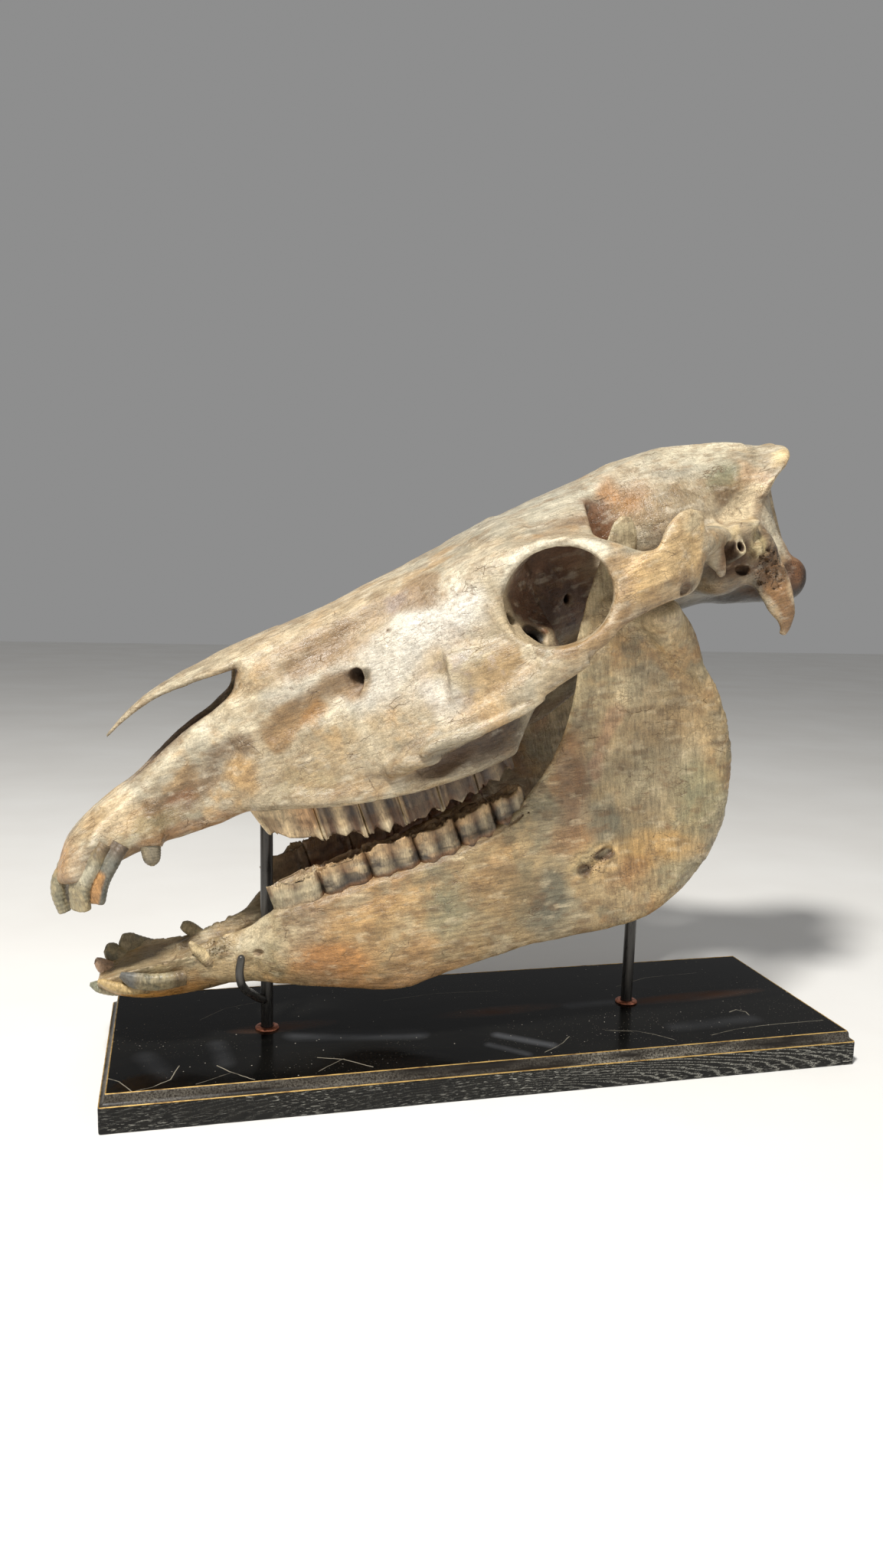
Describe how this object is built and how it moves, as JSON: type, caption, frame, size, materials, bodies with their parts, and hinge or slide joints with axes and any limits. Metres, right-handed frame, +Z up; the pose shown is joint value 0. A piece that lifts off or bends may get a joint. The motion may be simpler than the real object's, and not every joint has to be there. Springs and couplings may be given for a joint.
{
  "type": "horse skull on display mount",
  "caption": "Life-size horse skull with its lower jaw, held on slim steel rods above a flat black lacquered base with a gold-lined moulding.",
  "frame": {"origin": "centre of the base's underside, on the floor", "axes": "+X along the base, from the nose towards the back of the head; +Y to the animal's right side; +Z up"},
  "size_m": [0.5273, 0.2193, 0.4215],
  "materials": {
    "bone": "aged bone, tan to ochre, softly glossy where handled",
    "black_lacquer": "black lacquered wood, glossy on top, open-grained at the sides, with two thin gold lines",
    "black_steel": "satin black",
    "copper": "copper, lightly tarnished"
  },
  "bodies": {
    "root": {"cranium": "bone", "mandible": "bone", "front_rod": "black_steel", "rear_rod": "black_steel", "front_collar": "copper", "rear_collar": "copper", "stand_base": "black_lacquer"}
  },
  "joints": []
}
